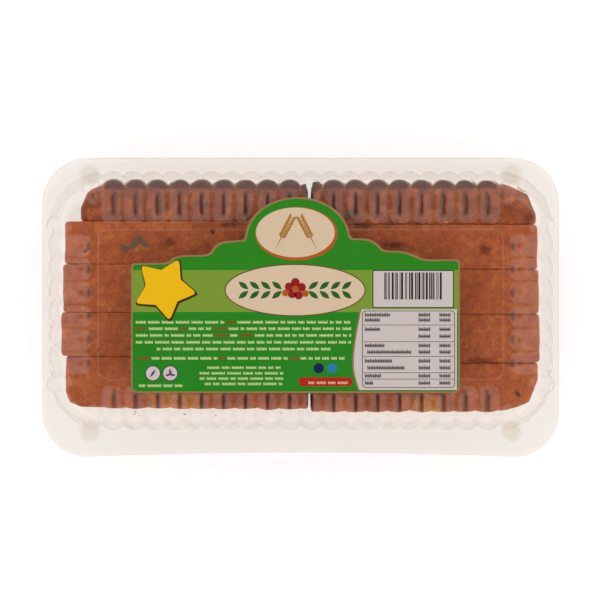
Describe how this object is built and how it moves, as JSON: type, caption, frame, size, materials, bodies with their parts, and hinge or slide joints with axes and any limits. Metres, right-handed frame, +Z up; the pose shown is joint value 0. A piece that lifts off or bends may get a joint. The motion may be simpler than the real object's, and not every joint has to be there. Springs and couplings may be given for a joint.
{
  "type": "packed sliced fruit cake",
  "caption": "Sliced fruit cake in a closed clear clamshell pack with fluted walls, a hinged lid and a die-cut paper label on top.",
  "frame": {"origin": "on the ground under the middle of the flange's outline", "axes": "+X along the long side, +Y to the hinge fold at the rear, +Z up"},
  "size_m": [0.238, 0.1376, 0.0485],
  "materials": {
    "clear_plastic": "clear formed sheet, glossy",
    "label_paper": "printed, satin",
    "cake": "baked reddish-brown crust over a yellow crumb with fruit pieces"
  },
  "bodies": {
    "tray": {"tray": "clear_plastic", "slice_left_1": "cake", "slice_left_2": "cake", "slice_left_3": "cake", "slice_left_4": "cake", "slice_left_5": "cake", "slice_right_1": "cake", "slice_right_2": "cake", "slice_right_3": "cake", "slice_right_4": "cake", "slice_right_5": "cake"},
    "lid": {"lid": "clear_plastic", "label": "label_paper"}
  },
  "joints": [
    {"name": "lid_hinge", "type": "hinge", "parent": "tray", "child": "lid", "pos_m": [0, 0.06875, 0.025], "axis": [-1, 0, 0], "range_deg": [0, 180]}
  ]
}
